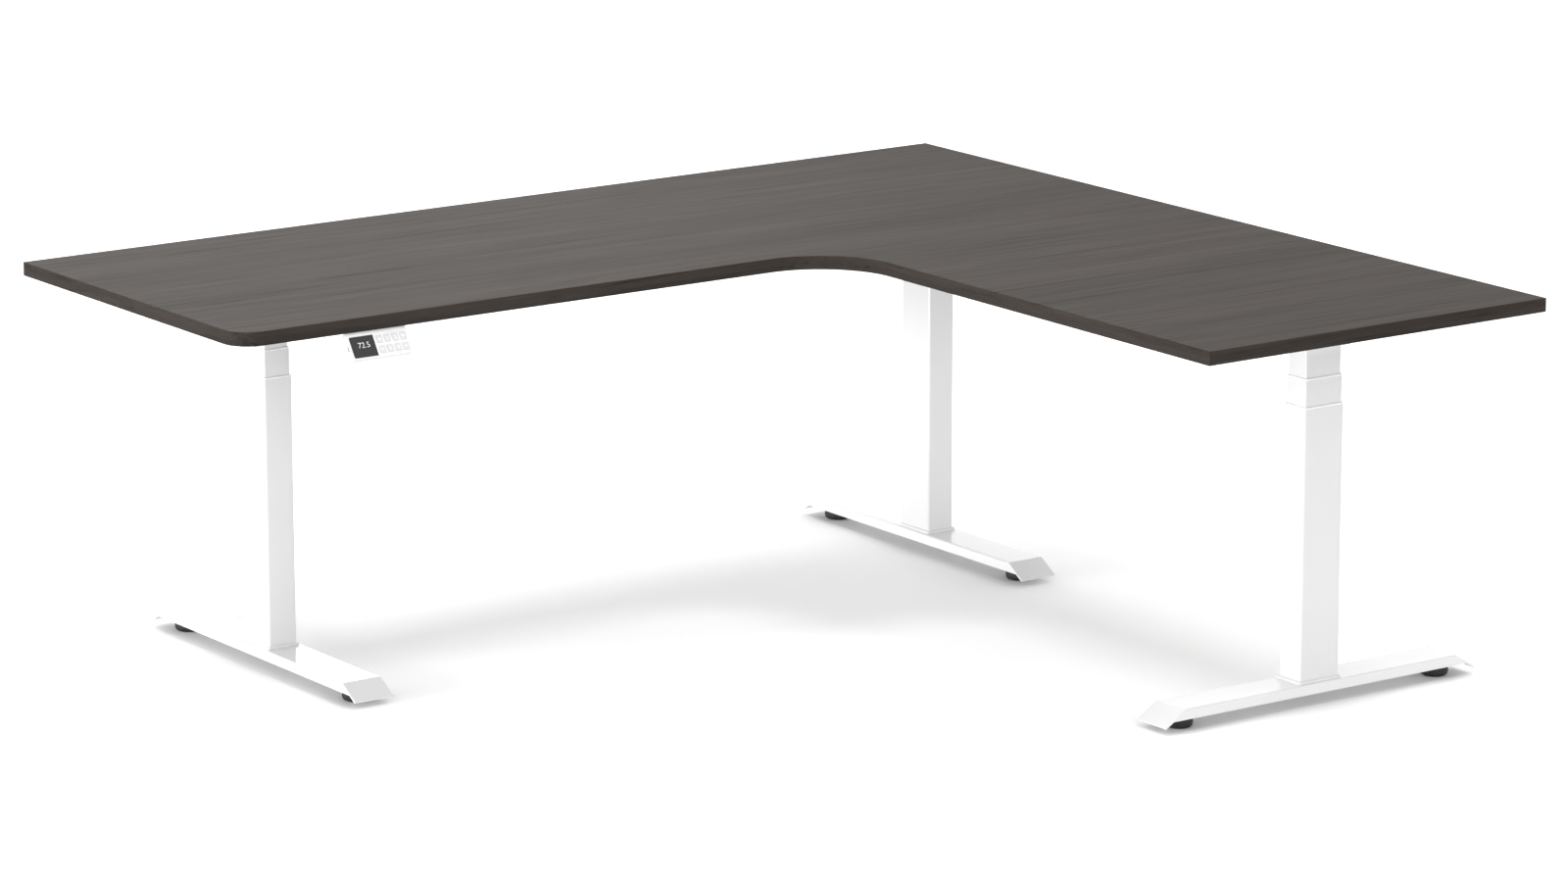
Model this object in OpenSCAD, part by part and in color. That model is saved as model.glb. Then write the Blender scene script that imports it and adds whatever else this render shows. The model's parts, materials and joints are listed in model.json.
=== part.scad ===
// Height adjustable corner desk on three telescopic columns.
//
// Frame: +Z is up and the glides stand on z = 0. X runs along the long back edge,
// Y runs from the end of the return wing (-Y) to the back edge (+Y), and the
// origin is the middle of the footprint. The desk is drawn 100 mm above its
// lowest position. Each leg is drawn in its own frame, with its foot along the
// local Y and its motor on the local +X side, and is then turned into place.

/* [Desktop] */
// Length of the back edge
top_length = 2000; // [1900:10:2200]
// Overall depth from the back edge to the end of the return wing
top_width = 1800; // [1700:10:2000]
// Depth of each wing
wing_depth = 750; // [720:5:800]
// Thickness of the desktop
top_thick = 25; // [22:1:30]
// Radius of the inner curve between the two wings
inner_curve_r = 150; // [80:5:250]
// Radius of the front left corner
corner_r = 50; // [10:5:90]
// Thickness of the edge band
band_thick = 2; // [1:0.5:3]

/* [Legs] */
// Height of the work surface
surface_height = 700; // [690:1:710]
// Distance from a side edge or the back edge line to the main legs, along X
main_leg_inset = 272; // [260:1:300]
// Distance from the end of the return wing to its leg
return_leg_inset = 172; // [165:1:200]
// Height of the outer tube's rim
outer_rim_height = 532.5; // [530:0.5:535]
// Exposed length of each raised stage
stage_reveal = 50; // [45:1:55]
// Outer stage, size across the foot and along it
outer_tube_size = [58, 88];
// Step in outside size from one stage to the next
stage_step = 5; // [4.5:0.1:5.5]
// Wall of every stage
tube_wall = 1.5; // [1.2:0.1:1.6]
// Corner radius of the outer stage
tube_corner_r = 5; // [4.5:0.1:6]

/* [Feet] */
// Length of a foot over its sloped ends
foot_length = 700; // [680:5:760]
// Width of a foot
foot_width = 78; // [76:1:90]
// Height of the foot's top face
foot_top = 40; // [38:0.5:42]
// Depth of the foot's side flanges
foot_flange = 18; // [16:0.5:19]
// Sheet thickness of the foot
foot_sheet = 3; // [2.5:0.1:3]
// Length of each sloped end
flap_run = 42; // [36:1:48]
// Drop of each sloped end
flap_drop = 26; // [22:1:28]
// Distance from the foot's tip to the middle of a glide
glide_inset = 60; // [55:1:70]
// Diameter of a glide
glide_d = 50; // [44:1:52]

/* [Frame] */
// Depth of the frame below the desktop
frame_depth = 40; // [38:1:42]
// Rail section, width and height
rail_size = [15, 25];
// Distance between the middles of the two rails of a pair
rail_spacing = 79; // [77:1:79]

/* [Handset] */
// Width of the handset
handset_w = 119; // [115:1:130]
// Length of the handset's face
handset_face = 50; // [48:1:54]
// Thickness of the handset
handset_t = 14; // [12:0.5:16]
// Lean of the face, measured from lying flat and facing up
handset_tilt = 57; // [50:1:65]
// Distance from the left edge of the desktop to the handset
handset_inset = 214; // [200:1:400]
// Travel of a key
key_travel = 1; // [0.5:0.1:1.2]

/* [Hidden] */
LEGS = ["left", "corner", "return"];
ENDS = ["a", "b"];
KEY_COLUMNS = 4;
KEY_ROWS = 2;
KEYS = [for (row = [0 : KEY_ROWS - 1], col = [0 : KEY_COLUMNS - 1]) [col, row]];
LEG_PARTS = ["foot", "outer_tube", "middle_tube", "middle_collar", "inner_tube",
             "bracket", "gearbox", "motor", "upper_screw", "lower_screw"];
function leg_node(leg, part) = str(leg, "_", part);
function glide_node(leg, end) = str(leg, "_glide_", end);
function key_node(key) = str("key_", key[1] * KEY_COLUMNS + key[0] + 1);

$fn = 48;
white = "white";
charcoal = "#4a4541";
black = "#202020";
steel = "silver";

// Underside of the desktop and bottom of the frame
under = surface_height - top_thick;
frame_low = under - frame_depth;
// Edges that the frame and the handset are set from
back_y = top_width / 2;
front_y = back_y - wing_depth;
inner_x = top_length / 2 - wing_depth;
left_x = -top_length / 2;
end_y = -top_width / 2;
// Leg places
main_leg_x = top_length / 2 - main_leg_inset;
main_leg_y = back_y - wing_depth / 2;
return_leg_x = top_length / 2 - wing_depth / 2;
return_leg_y = end_y + return_leg_inset;

// Telescope
plate_thick = 5;
plate_lip = 4;
collar_rim = 3;
collar_skirt = 0.65;
collar_skirt_length = 30;
collar_gap = 0.35;
middle_size = outer_tube_size - [stage_step, stage_step];
inner_size = middle_size - [stage_step, stage_step];
outer_low = foot_top + plate_thick;
middle_low = foot_top + 64;
middle_rim = outer_rim_height + stage_reveal;
middle_plate = 4;
inner_low = middle_low + 58;

// Lifting spindle: a solid upper screw runs in the head of a hollow lower screw,
// and the lower screw runs in a nut on two posts that stand on the base plate
upper_screw_r = 6;
lower_screw_r = 11;
lower_screw_bore_r = 7.5;
lower_screw_flange_r = 15;
lower_screw_flange_thick = 4;
running_gap = 0.06;
lower_screw_low = middle_low + middle_plate + 0.3;
lower_screw_top = 490;
screw_head_length = 30;
upper_screw_low = 168;
nut_size = [26, 60, 30];
nut_low = 394;
post_r = 4;
post_spacing = 44;
post_hole_r = 4.7;

// Foot
flap_root = foot_length / 2 - flap_run;
flap_angle = atan(flap_drop / flap_run);
flange_low = foot_top - foot_flange;
foot_corner_r = 4;
glide_y = foot_length / 2 - glide_inset;
glide_height = 20;
glide_stud_r = 4;
glide_stud_gap = 0.5;
glide_stud_top = foot_top - foot_sheet - glide_stud_gap;
insert_r = 7;
bolt_r = 4;
bolt_head_r = 6.5;
bolt_head_height = 5;
bolt_grid = [26, 60];

// Head bracket under the desktop
head_front = -35;
head_back = 70;
head_width = 100;
head_sheet = 3;
screw_opening_r = 12;
arm_reach = 280;
arm_tip = 12;
arm_toe = 20;
arm_width = 50;
arm_sheet = 2.5;
arm_rib_inset = 13;
arm_screw_y = [130, 260];
arm_screw_inset = 7;
rail_low = frame_low + 7;
rail_wall = 1.5;
rail_entry = 40;
// Plate that ends the return rails, and the pad on it, both from the leg's centre line
joint_plate = [125, 4, 30];
joint_pad_length = 90;
joint_start = -60;
gearbox_size = [56, 56, 32];
gearbox_low = frame_low + head_sheet;
gearbox_corner_r = 6;
screw_entry = 12;
motor_r = 16.5;
motor_length = 92;
motor_cap = [10.5, 4];
motor_z = gearbox_low + motor_r;
screw_head_r = 4;
screw_shank_r = 2;
screw_head_height = 2.2;

// Control box and leads
box_size = [250, 100];
box_centre = [0, 655];
box_low = under - 38;
box_wall = 2;
box_corner_r = 6;
box_lid_thick = 3;
box_ear = 14;
box_screw_y = 32;
inlet_size = [48, 27];
inlet_depth = 20;
inlet_proud = 1;
inlet_low = box_low + 5;
inlet_recess = [16, 24, 16];
inlet_pin = [13, 2, 4];
inlet_pin_y = [-7, 0, 7];
lead_r = 2.5;
lead_bend = 25;
lead_sides = 8;
lead_z = under - 3.5;
lead_rise = [25, 70];
lead_dip = 7;
clip_size = 12;
clip_wall = 1.5;
clip_gap = 0.2;
lead_ports = [-90, 60, 20, -30];
lead_lanes = [0, 8, -8];

// Handset, in its own frame: x along the desk edge, y up the face, z out of it
handset_x = left_x + handset_inset;
handset_y = front_y + 5;
handset_corner_r = 3;
handset_nose_r = 5;
face_top = 9;
lens_size = [48, 38.7];
lens_inset = 2;
lens_thick = 2;
lens_proud = 0.3;
key_size = [12.6, 14];
key_corner_r = 2;
key_pitch = [15.8, 19];
key_first = [61, -18.5];
key_thick = 3;
key_proud = 0.6;
key_gap = 0.3;
pocket_depth = 4;
neck_flange = 3;
neck_depth = 12;
neck_front = 9;
neck_back = 19;
neck_reach = 36;
neck_inset = 6;
neck_screw_inset = 16;
port_size = [2, 9, 3];
port_y = -32;
port_z = -9.5;
port_wall = 0.8;
port_recess = 0.2;

function leg_place(leg) =
    leg == "left" ? [-main_leg_x, main_leg_y, 0]
    : leg == "corner" ? [main_leg_x, main_leg_y, 0]
    : [return_leg_x, return_leg_y, 0];
function leg_turn(leg) = leg == "left" ? 0 : leg == "corner" ? 180 : 90;

module at_leg(leg) {
    translate(leg_place(leg)) rotate([0, 0, leg_turn(leg)]) children();
}

module at_all_legs() {
    for (leg = LEGS) at_leg(leg) children();
}

module mirror_copies(axis) {
    children();
    mirror(axis) children();
}

// ---- Shared shapes ----

module rounded_rect(size, r) {
    square([size[0] - 2 * r, size[1]], center = true);
    square([size[0], size[1] - 2 * r], center = true);
    for (sx = [-1, 1], sy = [-1, 1])
        translate([sx * (size[0] / 2 - r), sy * (size[1] / 2 - r)]) circle(r);
}

module rounded_box(size, r) {
    linear_extrude(size[2]) rounded_rect([size[0], size[1]], r);
}

module ring_section(size, r, wall) {
    difference() {
        rounded_rect(size, r);
        rounded_rect(size - [2 * wall, 2 * wall], r - wall);
    }
}

// Corner radius of a stage whose outside is smaller than the outer stage's
function stage_r(size) = tube_corner_r - (outer_tube_size[0] - size[0]) / 4;

module stage_tube(size, low, high) {
    translate([0, 0, low])
        linear_extrude(high - low) ring_section(size, stage_r(size), tube_wall);
}

// Rim ring on a stage's end, with a thin skirt that guides the next stage
module stage_collar(size, rim) {
    next = size - [stage_step, stage_step];
    opening = next + [2 * collar_gap, 2 * collar_gap];
    inside = size - [2 * tube_wall, 2 * tube_wall];
    translate([0, 0, rim - collar_rim]) linear_extrude(collar_rim) difference() {
        rounded_rect(size, stage_r(size));
        rounded_rect(opening, stage_r(next));
    }
    translate([0, 0, rim - collar_rim - collar_skirt_length])
        linear_extrude(collar_skirt_length) difference() {
            rounded_rect(inside, stage_r(size) - tube_wall);
            rounded_rect(opening, stage_r(next));
        }
}

// ---- Desktop ----

// Plan of the desktop, drawn smaller by inset all round
module desktop_outline(inset) {
    curve_x = inner_x - inner_curve_r;
    curve_y = front_y - inner_curve_r;
    difference() {
        union() {
            translate([left_x + inset, front_y + inset])
                square([top_length - 2 * inset, wing_depth - 2 * inset]);
            translate([inner_x + inset, end_y + inset])
                square([wing_depth - 2 * inset, top_width - 2 * inset]);
            difference() {
                translate([curve_x, curve_y])
                    square([inner_curve_r + inset + 1, inner_curve_r + inset + 1]);
                translate([curve_x, curve_y]) circle(inner_curve_r + inset, $fn = 96);
            }
        }
        difference() {
            translate([left_x - 1, front_y - 1]) square(corner_r + 1);
            translate([left_x + corner_r, front_y + corner_r]) circle(corner_r - inset, $fn = 96);
        }
    }
}

module desktop_panel() {
    color(charcoal) translate([0, 0, under])
        linear_extrude(top_thick) desktop_outline(band_thick);
}

module edge_band() {
    color(charcoal) translate([0, 0, under]) linear_extrude(top_thick) difference() {
        desktop_outline(0);
        desktop_outline(band_thick);
    }
}

// ---- Telescopic column ----

module outer_tube() {
    color(white) {
        difference() {
            translate([0, 0, foot_top])
                rounded_box([outer_tube_size[0] + 2 * plate_lip, outer_tube_size[1] + 2 * plate_lip,
                             plate_thick], tube_corner_r + 1);
            bolt_places() translate([0, 0, foot_top - 1]) cylinder(h = plate_thick + 2, r = bolt_r);
        }
        stage_tube(outer_tube_size, outer_low, outer_rim_height - collar_rim);
    }
}

module middle_tube() {
    color(white) {
        stage_tube(middle_size, middle_low, middle_rim - collar_rim);
        difference() {
            translate([0, 0, middle_low])
                rounded_box([middle_size[0] - 2 * tube_wall, middle_size[1] - 2 * tube_wall, middle_plate],
                            stage_r(middle_size) - tube_wall);
            for (side = [-1, 1]) translate([0, side * post_spacing / 2, middle_low - 1])
                cylinder(h = middle_plate + 2, r = post_hole_r);
        }
    }
}

module inner_tube() {
    color(white) stage_tube(inner_size, inner_low, frame_low);
}

module middle_collar() {
    color(white) stage_collar(middle_size, middle_rim);
}

module outer_collars() {
    color(white) at_all_legs() stage_collar(outer_tube_size, outer_rim_height);
}

module upper_screw() {
    color(steel) translate([0, 0, upper_screw_low])
        cylinder(h = gearbox_low + screw_entry - upper_screw_low, r = upper_screw_r);
}

module lower_screw() {
    color(steel) difference() {
        union() {
            translate([0, 0, lower_screw_low])
                cylinder(h = lower_screw_top - lower_screw_low, r = lower_screw_r);
            translate([0, 0, lower_screw_low])
                cylinder(h = lower_screw_flange_thick, r = lower_screw_flange_r);
        }
        translate([0, 0, lower_screw_low - 1])
            cylinder(h = lower_screw_top - screw_head_length - lower_screw_low + 1, r = lower_screw_bore_r);
        translate([0, 0, lower_screw_top - screw_head_length - 1])
            cylinder(h = screw_head_length + 2, r = upper_screw_r + running_gap);
    }
}

module base_nuts() {
    color(steel) at_all_legs() {
        difference() {
            translate([-nut_size[0] / 2, -nut_size[1] / 2, nut_low]) cube(nut_size);
            translate([0, 0, nut_low - 1]) cylinder(h = nut_size[2] + 2, r = lower_screw_r + running_gap);
        }
        for (side = [-1, 1]) translate([0, side * post_spacing / 2, outer_low])
            cylinder(h = nut_low - outer_low, r = post_r);
    }
}

// ---- Foot ----

module bolt_places() {
    for (sx = [-1, 1], sy = [-1, 1])
        translate([sx * bolt_grid[0] / 2, sy * bolt_grid[1] / 2, 0]) children();
}

// Channel section across the foot: top sheet, two flanges and rounded outer bends
module foot_section() {
    inner_r = foot_corner_r - foot_sheet;
    difference() {
        translate([-foot_width / 2, flange_low]) square([foot_width, foot_flange]);
        translate([-foot_width / 2 + foot_sheet, flange_low - 1])
            square([foot_width - 2 * foot_sheet, foot_flange - foot_sheet - inner_r + 1]);
        translate([-foot_width / 2 + foot_sheet + inner_r, flange_low - 1])
            square([foot_width - 2 * foot_sheet - 2 * inner_r, foot_flange - foot_sheet + 1]);
        for (side = [-1, 1]) {
            translate([side * (foot_width / 2 - foot_sheet - inner_r), foot_top - foot_sheet - inner_r])
                circle(inner_r);
            difference() {
                translate([side * (foot_width / 2 - foot_corner_r / 2 + 0.5), foot_top - foot_corner_r / 2 + 0.5])
                    square(foot_corner_r + 1, center = true);
                translate([side * (foot_width / 2 - foot_corner_r), foot_top - foot_corner_r])
                    circle(foot_corner_r);
            }
        }
    }
}

// Side view of the foot, which trims the channel's ends to the slope of the flaps
module foot_profile() {
    low_half = flap_root + foot_flange / tan(flap_angle);
    polygon([[-low_half, flange_low], [low_half, flange_low], [flap_root, foot_top], [-flap_root, foot_top]]);
}

// Side view of one sloped end: the top sheet bent down past the flanges
module flap_profile() {
    sheet_x = foot_sheet * sin(flap_angle);
    sheet_z = foot_sheet * cos(flap_angle);
    polygon([[flap_root - 2, foot_top], [flap_root, foot_top],
             [flap_root + flap_run, foot_top - flap_drop],
             [flap_root + flap_run - sheet_x, foot_top - flap_drop - sheet_z],
             [flap_root - sheet_x, foot_top - sheet_z], [flap_root - 2, foot_top - sheet_z]]);
}

module across_foot(width) {
    rotate([90, 0, 90]) translate([0, 0, -width / 2]) linear_extrude(width) children();
}

module foot() {
    color(white) difference() {
        union() {
            intersection() {
                rotate([90, 0, 0]) translate([0, 0, -foot_length / 2])
                    linear_extrude(foot_length) foot_section();
                across_foot(foot_width + 2) foot_profile();
            }
            mirror_copies([0, 1, 0]) {
                across_foot(foot_width) flap_profile();
                translate([0, glide_y, flange_low]) cylinder(h = foot_flange - foot_sheet, r = insert_r);
            }
        }
        bolt_places() translate([0, 0, flange_low]) cylinder(h = foot_flange + 1, r = bolt_r);
        for (side = [-1, 1]) translate([0, side * glide_y, flange_low - 1])
            cylinder(h = glide_stud_top + glide_stud_gap - flange_low + 1, r = glide_stud_r + running_gap);
    }
}

module glide(side) {
    r = glide_d / 2;
    color(black) translate([0, side * glide_y, 0]) {
        rotate_extrude() polygon([[0, 0], [r - 6, 0], [r - 2.5, 2], [r - 0.6, 5], [r, 9], [r - 0.3, 14],
                                  [r - 1.5, 18], [r - 4, glide_height], [0, glide_height]]);
        cylinder(h = glide_stud_top, r = glide_stud_r);
    }
}

module foot_bolts() {
    color(steel) at_all_legs() bolt_places() {
        translate([0, 0, foot_top - foot_sheet - bolt_head_height])
            cylinder(h = bolt_head_height, r = bolt_head_r, $fn = 6);
        translate([0, 0, foot_top - foot_sheet]) cylinder(h = foot_sheet + plate_thick, r = bolt_r);
    }
}

// ---- Frame under the desktop ----

module screw_places() {
    mirror_copies([0, 1, 0]) for (sx = [-1, 1], y = arm_screw_y)
        translate([sx * (arm_width / 2 - arm_screw_inset), y, 0]) children();
}

module arm() {
    root = head_width / 2;
    for (side = [-1, 1])
        translate([side * (arm_width / 2 - arm_sheet - arm_rib_inset), 0, 0]) across_foot(arm_sheet)
            polygon([[root, frame_low], [root + arm_toe, frame_low], [arm_reach, under - arm_tip],
                     [arm_reach, under - arm_sheet / 2], [root, under - arm_sheet / 2]]);
    translate([-arm_width / 2, root, under - arm_sheet]) cube([arm_width, arm_reach - root, arm_sheet]);
}

module bracket() {
    head_length = head_back - head_front;
    color(white) difference() {
        union() {
            translate([head_front, -head_width / 2, frame_low]) cube([head_length, head_width, head_sheet]);
            for (side = [-1, 1])
                translate([head_front, side * (head_width / 2 - head_sheet / 2) - head_sheet / 2, frame_low])
                    cube([head_length, head_sheet, frame_depth]);
            mirror_copies([0, 1, 0]) arm();
        }
        translate([0, 0, frame_low - 1]) cylinder(h = head_sheet + 2, r = screw_opening_r);
        screw_places() translate([0, 0, under - arm_sheet - 1]) cylinder(h = arm_sheet + 2, r = screw_shank_r);
    }
}

module gearbox() {
    bore_top = gearbox_low + screw_entry + 0.5;
    color(black) difference() {
        translate([0, 0, gearbox_low]) rounded_box(gearbox_size, gearbox_corner_r);
        translate([0, 0, gearbox_low - 1])
            cylinder(h = bore_top - gearbox_low + 1, r = upper_screw_r + running_gap);
    }
}

module motor() {
    color(black) translate([gearbox_size[0] / 2, 0, motor_z]) rotate([0, 90, 0]) {
        cylinder(h = motor_length, r = motor_r);
        translate([0, 0, motor_length]) cylinder(h = motor_cap[1], r = motor_cap[0]);
    }
}

module rail(length) {
    rotate([90, 0, 90]) linear_extrude(length) difference() {
        translate([-rail_size[0] / 2, 0]) square(rail_size);
        translate([-rail_size[0] / 2 + rail_wall, rail_wall])
            square(rail_size - [2 * rail_wall, 2 * rail_wall]);
    }
}

module main_rails() {
    start = -main_leg_x + rail_entry;
    color(white) for (side = [-1, 1])
        translate([start, main_leg_y + side * rail_spacing / 2, rail_low]) rail(-2 * start);
}

// The return pair starts inside the return leg's head and ends in a plate on the corner head
module return_rails() {
    start = return_leg_y + rail_entry;
    stop = main_leg_y - head_width / 2 - joint_plate[1];
    color(white) {
        for (side = [-1, 1])
            translate([return_leg_x + side * rail_spacing / 2, start, rail_low])
                rotate([0, 0, 90]) rail(stop - start);
        translate([return_leg_x + joint_start, stop, frame_low + head_sheet]) cube(joint_plate);
        // Pad that bears on the side of the main rail
        translate([return_leg_x + joint_start, stop + joint_plate[1], rail_low])
            cube([joint_pad_length, head_sheet, rail_size[1]]);
    }
}

// Pan head screw up through a sheet that lies against the desktop
module desk_screw(sheet) {
    translate([0, 0, under - sheet - screw_head_height]) cylinder(h = screw_head_height, r = screw_head_r);
    translate([0, 0, under - sheet]) cylinder(h = sheet, r = screw_shank_r);
}

module frame_screws() {
    color(steel) {
        at_all_legs() screw_places() desk_screw(arm_sheet);
        box_screw_places() desk_screw(box_lid_thick);
        handset_screw_places() desk_screw(neck_flange);
    }
}

// ---- Control box, inlet and leads ----

module at_box() {
    translate([box_centre[0], box_centre[1], 0]) children();
}

module control_box_base() {
    height = under - box_lid_thick - box_low;
    color(black) at_box() {
        difference() {
            translate([0, 0, box_low]) rounded_box([box_size[0], box_size[1], height], box_corner_r);
            translate([0, 0, box_low + box_wall])
                rounded_box([box_size[0] - 2 * box_wall, box_size[1] - 2 * box_wall, height],
                            box_corner_r - box_wall);
            translate([box_size[0] / 2 - box_wall - 1, -inlet_size[0] / 2, inlet_low])
                cube([box_wall + 2, inlet_size[0], inlet_size[1]]);
        }
    }
}

module box_screw_places() {
    at_box() for (sx = [-1, 1], sy = [-1, 1])
        translate([sx * (box_size[0] / 2 + box_ear / 2 + 1), sy * box_screw_y, 0]) children();
}

module control_box_lid() {
    color(black) difference() {
        at_box() translate([0, 0, under - box_lid_thick])
            rounded_box([box_size[0] + 2 * box_ear, box_size[1], box_lid_thick], box_corner_r);
        box_screw_places() translate([0, 0, under - box_lid_thick - 1])
            cylinder(h = box_lid_thick + 2, r = screw_shank_r);
    }
}

// Inlet for a three-pin mains connector, facing the corner leg
module power_inlet() {
    mid_z = inlet_low + inlet_size[1] / 2;
    recess_x = box_size[0] / 2 - inlet_recess[0];
    color(black) at_box() {
        difference() {
            translate([box_size[0] / 2 - inlet_depth, -inlet_size[0] / 2, inlet_low])
                cube([inlet_depth + inlet_proud, inlet_size[0], inlet_size[1]]);
            translate([recess_x, -inlet_recess[1] / 2, mid_z - inlet_recess[2] / 2])
                cube(inlet_recess + [inlet_proud + 1, 0, 0]);
        }
        // Three pins, the middle one above the other two
        for (y = inlet_pin_y)
            translate([recess_x - 1, y - inlet_pin[1] / 2, mid_z + (y == 0 ? inlet_pin[2] / 2 : -inlet_pin[2])])
                cube(inlet_pin);
    }
}

// Each corner of a route becomes a short curve of bend points
BEND_STEPS = 4;
function bend(a, b, c, reach) =
    let (p = b + (a - b) * min(0.45, reach / norm(a - b)), q = b + (c - b) * min(0.45, reach / norm(c - b)))
    [for (i = [0 : BEND_STEPS]) let (t = i / BEND_STEPS) (1 - t) ^ 2 * p + 2 * t * (1 - t) * b + t ^ 2 * q];
function smooth_route(route, reach) = [
    route[0],
    for (i = [1 : len(route) - 2]) each bend(route[i - 1], route[i], route[i + 1], reach),
    route[len(route) - 1]
];
function unit(v) = v / norm(v);

module lead(route, r) {
    sides = lead_sides;
    path = smooth_route(route, lead_bend);
    last = len(path) - 1;
    rings = [
        for (i = [0 : last])
            let (along = unit(path[min(i + 1, last)] - path[max(i - 1, 0)]),
                 aside = unit(cross(along, [0, 0, 1])),
                 above = cross(aside, along))
            for (k = [0 : sides - 1])
                path[i] + r * (cos(360 * k / sides) * aside + sin(360 * k / sides) * above)
    ];
    walls = [
        for (i = [0 : last - 1], k = [0 : sides - 1])
            [i * sides + k, i * sides + (k + 1) % sides, (i + 1) * sides + (k + 1) % sides, (i + 1) * sides + k]
    ];
    caps = [[for (k = [sides - 1 : -1 : 0]) k], [for (k = [0 : sides - 1]) last * sides + k]];
    polyhedron(rings, concat(walls, caps));
}

motor_end = gearbox_size[0] / 2 + motor_length + motor_cap[1];
box_front = box_centre[1] - box_size[1] / 2;
function to_box(port) = [[port, box_front - 20, lead_z], [port, box_front, lead_z - lead_dip]];
function main_route(side, lane, port) = concat(
    [[side * (main_leg_x - motor_end), main_leg_y, motor_z],
     [side * (main_leg_x - motor_end - lead_rise[0]), main_leg_y, motor_z + 2],
     [side * (main_leg_x - motor_end - lead_rise[1]), main_leg_y + lane, lead_z],
     [port, main_leg_y + lane, lead_z]],
    to_box(port));
left_route = main_route(-1, lead_lanes[0], lead_ports[0]);
corner_route = main_route(1, lead_lanes[1], lead_ports[1]);
return_route = concat(
    [[return_leg_x, return_leg_y + motor_end, motor_z],
     [return_leg_x, return_leg_y + motor_end + lead_rise[0], motor_z + 2],
     [return_leg_x, return_leg_y + motor_end + lead_rise[1], lead_z],
     [return_leg_x, main_leg_y - 90, lead_z],
     [return_leg_x - 80, main_leg_y + lead_lanes[2], lead_z],
     [lead_ports[2], main_leg_y + lead_lanes[2], lead_z]],
    to_box(lead_ports[2]));
handset_lead_x = handset_x + 95;
handset_route = concat(
    [[handset_lead_x, handset_y + neck_back, under - lead_dip],
     [handset_lead_x, handset_y + neck_reach + 10, under - lead_dip],
     [handset_lead_x, handset_y + neck_reach + 40, lead_z],
     [handset_lead_x, main_leg_y - 80, lead_z],
     [lead_ports[3], main_leg_y - 80, lead_z]],
    to_box(lead_ports[3]));

module under_desk_leads() {
    color(black) for (route = [left_route, corner_route, return_route, handset_route])
        lead(route, lead_r);
}

module lead_clips() {
    hole = lead_r + clip_gap;
    reach = hole + clip_wall;
    clips = [[-450, main_leg_y, 0], [-250, main_leg_y, 0], [220, main_leg_y + lead_lanes[1], 0],
             [380, main_leg_y + lead_lanes[1], 0], [return_leg_x, 100, 90], [return_leg_x, -300, 90],
             [handset_lead_x, front_y + 150, 90], [-350, main_leg_y - 80, 0]];
    color(black) for (clip = clips)
        translate([clip[0], clip[1], 0]) rotate([0, 0, clip[2]]) difference() {
            translate([-clip_size / 2, -reach, lead_z - reach])
                cube([clip_size, 2 * reach, under - lead_z + reach]);
            translate([-clip_size / 2 - 1, 0, lead_z]) rotate([0, 90, 0])
                cylinder(h = clip_size + 2, r = hole);
        }
}

// ---- Handset ----

module at_handset() {
    translate([handset_x, handset_y, under]) rotate([handset_tilt, 0, 0]) children();
}

// Side view of the handset's body: y up the face, z out of the face
module handset_side() {
    difference() {
        translate([-handset_face, -handset_t]) square([handset_face, handset_t]);
        difference() {
            translate([-handset_face - 1, -handset_nose_r]) square([handset_nose_r + 1, handset_nose_r + 1]);
            translate([-handset_face + handset_nose_r, -handset_nose_r]) circle(handset_nose_r);
        }
    }
}

module lens_outline() {
    translate([lens_inset, -face_top - lens_size[1]]) {
        translate([handset_corner_r, 0]) square([lens_size[0] - handset_corner_r, lens_size[1]]);
        translate([0, handset_corner_r]) square([handset_corner_r, lens_size[1] - 2 * handset_corner_r]);
        for (y = [handset_corner_r, lens_size[1] - handset_corner_r])
            translate([handset_corner_r, y]) circle(handset_corner_r);
    }
}

module key_outline(key, grow) {
    translate([key_first[0] + key[0] * key_pitch[0], key_first[1] - key[1] * key_pitch[1]])
        rounded_rect(key_size + [2 * grow, 2 * grow], key_corner_r + grow);
}

// Neck that joins the leaning body to a flange under the desktop
module handset_neck() {
    translate([neck_inset, 0, 0]) rotate([90, 0, 90]) linear_extrude(handset_w - 2 * neck_inset)
        polygon([[1, 0], [1, -neck_flange], [neck_front, -neck_depth], [neck_back, -neck_depth],
                 [neck_back, -neck_flange], [neck_reach, -neck_flange], [neck_reach, 0]]);
}

module handset_screw_places() {
    for (x = [neck_screw_inset, handset_w - neck_screw_inset])
        translate([handset_x + x, handset_y + neck_reach - 7, 0]) children();
}

module handset_housing() {
    color(white) difference() {
        union() {
            at_handset() intersection() {
                rotate([90, 0, 90]) linear_extrude(handset_w) handset_side();
                translate([handset_w / 2, -handset_face / 2, -handset_t - 1]) linear_extrude(handset_t + 2)
                    rounded_rect([handset_w, handset_face], handset_corner_r);
            }
            translate([handset_x, handset_y, under]) handset_neck();
        }
        at_handset() {
            translate([0, 0, -lens_thick]) linear_extrude(lens_thick + 1) lens_outline();
            for (key = KEYS) translate([0, 0, -pocket_depth]) linear_extrude(pocket_depth + 1)
                key_outline(key, key_gap);
            translate([-1, port_y, port_z]) cube([1 + port_size[0], port_size[1], port_size[2]]);
        }
        handset_screw_places() translate([0, 0, under - neck_flange - 1])
            cylinder(h = neck_flange + 2, r = screw_shank_r);
    }
}

module handset_lens() {
    color(black) at_handset() translate([0, 0, -lens_thick])
        linear_extrude(lens_thick + lens_proud) lens_outline();
}

module charge_port() {
    color(black) at_handset() difference() {
        translate([port_recess, port_y, port_z]) cube(port_size - [port_recess, 0, 0]);
        translate([-1, port_y + port_wall, port_z + port_wall])
            cube([port_size[0], port_size[1] - 2 * port_wall, port_size[2] - 2 * port_wall]);
    }
}

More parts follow.
